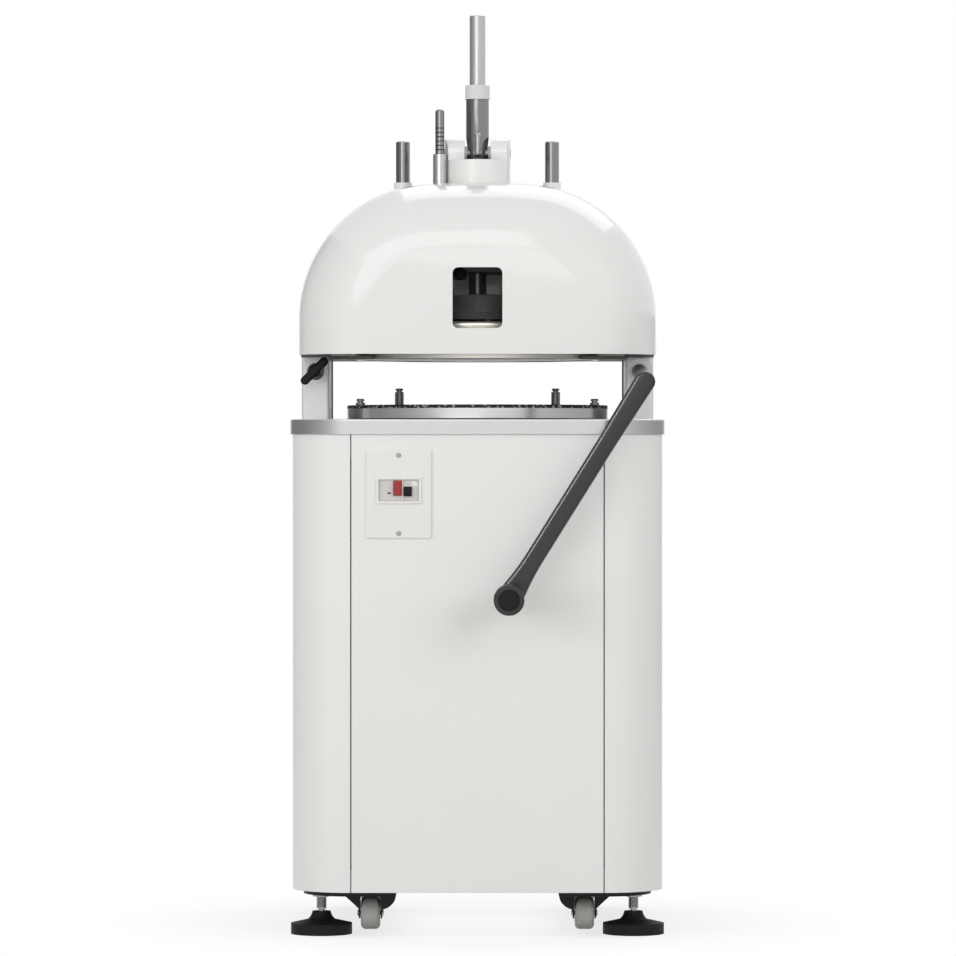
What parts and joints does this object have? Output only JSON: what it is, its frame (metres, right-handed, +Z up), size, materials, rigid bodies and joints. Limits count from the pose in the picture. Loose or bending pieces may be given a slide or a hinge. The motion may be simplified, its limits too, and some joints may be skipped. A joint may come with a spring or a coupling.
{
  "type": "dough divider rounder",
  "caption": "Floor-standing bakery machine with a domed press head and hand lever over an orbiting plate; it presses, divides and rounds dough.",
  "frame": {"origin": "on the floor under the middle of the outline", "axes": "+Z up, -Y towards the operator, +X to the operator's right"},
  "size_m": [0.648, 0.788, 1.603],
  "materials": {
    "hood_enamel": "gloss",
    "cabinet_paint": "semi-gloss",
    "stainless": "brushed",
    "bright_steel": "ground",
    "machined_steel": "turned",
    "aluminium": "satin",
    "frame_paint": "satin",
    "black_paint": "satin",
    "lever_paint": "satin",
    "black_plastic": "matte",
    "white_plastic": "gloss",
    "grey_plastic": "matte",
    "red_plastic": "gloss",
    "tread": "matte",
    "belt_rubber": "matte",
    "pad_plastic": "speckled",
    "bronze": "machined"
  },
  "bodies": {
    "stand": {"base_frame": "frame_paint", "base_plates": "black_paint", "front_panel": "cabinet_paint", "left_side_panel": "cabinet_paint", "right_side_panel": "cabinet_paint", "rear_panel": "cabinet_paint", "table_top": "stainless", "switch_plate": "white_plastic", "motor_starter": "grey_plastic", "motor": "frame_paint", "drive_belt": "belt_rubber", "drive_plate": "frame_paint", "left_column": "aluminium", "right_column": "aluminium", "column_bushes": "machined_steel", "foot_pads": "black_plastic", "foot_stems": "black_paint", "castor_brackets": "black_paint", "head_frame": "frame_paint", "head_floor_plates": "black_paint", "hood": "hood_enamel", "guide_sleeves": "white_plastic", "gas_spring_cylinders": "black_paint", "scale_tube": "white_plastic", "lever_block": "hood_enamel", "cable_gland": "black_plastic"},
    "press_carriage": {"dough_ring": "stainless", "knife_basket": "stainless", "rack_column": "machined_steel", "guide_rods": "bright_steel", "gas_spring_rods": "bright_steel"},
    "press_plate": {"press_segments": "aluminium", "press_carrier": "aluminium", "scale_rod": "bright_steel"},
    "press_lever": {"sector_shaft": "machined_steel", "lever_socket": "machined_steel", "lever_collar": "white_plastic", "lever_tube": "bright_steel", "lever_bolt": "machined_steel"},
    "idler": {"idler_gear": "machined_steel"},
    "eccentric": {"eccentric_shaft": "machined_steel", "driven_pulley": "machined_steel"},
    "rounding_table": {"disc_spider": "frame_paint", "rounding_disc": "stainless", "disc_pad": "pad_plastic", "plate_pegs": "machined_steel"},
    "left_idler": {"left_idler_crank": "machined_steel"},
    "right_idler": {"right_idler_crank": "machined_steel"},
    "rotor": {"motor_rotor": "machined_steel"},
    "rounding_lever": {"rounding_lever_shaft": "lever_paint", "rounding_lever_arm": "lever_paint", "lever_grip": "black_plastic"},
    "lock": {"lock_handle": "black_plastic"},
    "stop": {"stop_button": "red_plastic"},
    "start": {"start_button": "black_plastic"},
    "front_left_roller": {"front_left_wheel": "tread"},
    "front_right_roller": {"front_right_wheel": "tread"},
    "rear_left_roller": {"rear_left_wheel": "tread"},
    "rear_right_roller": {"rear_right_wheel": "tread"}
  },
  "joints": [
    {"name": "press_slide", "type": "slide", "parent": "stand", "child": "press_carriage", "axis": [0, 0, -1], "range_m": [0, 0.045], "stiffness_N_per_m": 1200, "springref_m": -0.32},
    {"name": "plate_slide", "type": "slide", "parent": "press_carriage", "child": "press_plate", "axis": [0, 0, 1], "range_m": [0, 0.024]},
    {"name": "lever_turn", "type": "hinge", "parent": "stand", "child": "press_lever", "pos_m": [0, 0.00191, 1.36], "axis": [1, 0, 0], "range_deg": [0, 64.5]},
    {"name": "idler_turn", "type": "hinge", "parent": "stand", "child": "idler", "pos_m": [0, 0.022, 1.29818], "axis": [1, 0, 0], "range_deg": [-103.2, 0]},
    {"name": "eccentric_turn", "type": "hinge", "parent": "stand", "child": "eccentric", "pos_m": [0, 0.072, 0.78], "axis": [0, 0, 1], "continuous": true},
    {"name": "disc_turn", "type": "hinge", "parent": "eccentric", "child": "rounding_table", "pos_m": [0, 0.056, 0.86], "axis": [0, 0, 1], "continuous": true},
    {"name": "left_idler_turn", "type": "hinge", "parent": "stand", "child": "left_idler", "pos_m": [-0.13, 0.147, 0.8], "axis": [0, 0, 1], "continuous": true},
    {"name": "right_idler_turn", "type": "hinge", "parent": "stand", "child": "right_idler", "pos_m": [0.13, 0.147, 0.8], "axis": [0, 0, 1], "continuous": true},
    {"name": "rotor_turn", "type": "hinge", "parent": "stand", "child": "rotor", "pos_m": [-0.17, 0.072, 0.715], "axis": [0, 0, 1], "continuous": true},
    {"name": "rounding_lever_turn", "type": "hinge", "parent": "stand", "child": "rounding_lever", "pos_m": [0.2849, -0.023, 0.975], "axis": [0, -1, 0], "range_deg": [0, 60]},
    {"name": "lock_turn", "type": "hinge", "parent": "stand", "child": "lock", "pos_m": [-0.2849, -0.023, 0.975], "axis": [0, -1, 0], "range_deg": [0, 90]},
    {"name": "stop_press", "type": "slide", "parent": "stand", "child": "stop", "axis": [0, 1, 0], "range_m": [0, 0.0035], "stiffness_N_per_m": 900, "springref_m": -0.002},
    {"name": "start_press", "type": "slide", "parent": "stand", "child": "start", "axis": [0, 1, 0], "range_m": [0, 0.0035], "stiffness_N_per_m": 900, "springref_m": -0.002},
    {"name": "front_left_roll", "type": "hinge", "parent": "stand", "child": "front_left_roller", "pos_m": [-0.185, -0.174, 0.036], "axis": [1, 0, 0], "continuous": true},
    {"name": "front_right_roll", "type": "hinge", "parent": "stand", "child": "front_right_roller", "pos_m": [0.185, -0.174, 0.036], "axis": [1, 0, 0], "continuous": true},
    {"name": "rear_left_roll", "type": "hinge", "parent": "stand", "child": "rear_left_roller", "pos_m": [-0.192, 0.306, 0.028], "axis": [1, 0, 0], "continuous": true},
    {"name": "rear_right_roll", "type": "hinge", "parent": "stand", "child": "rear_right_roller", "pos_m": [0.192, 0.306, 0.028], "axis": [1, 0, 0], "continuous": true}
  ],
  "couplings": [
    {"joint": "lever_turn", "follows": "press_slide", "rad_per_m": 25},
    {"joint": "idler_turn", "follows": "press_slide", "rad_per_m": -40},
    {"joint": "disc_turn", "follows": "eccentric_turn", "ratio": -1},
    {"joint": "left_idler_turn", "follows": "eccentric_turn", "ratio": 1},
    {"joint": "right_idler_turn", "follows": "eccentric_turn", "ratio": 1},
    {"joint": "rotor_turn", "follows": "eccentric_turn", "ratio": 3.7473}
  ]
}
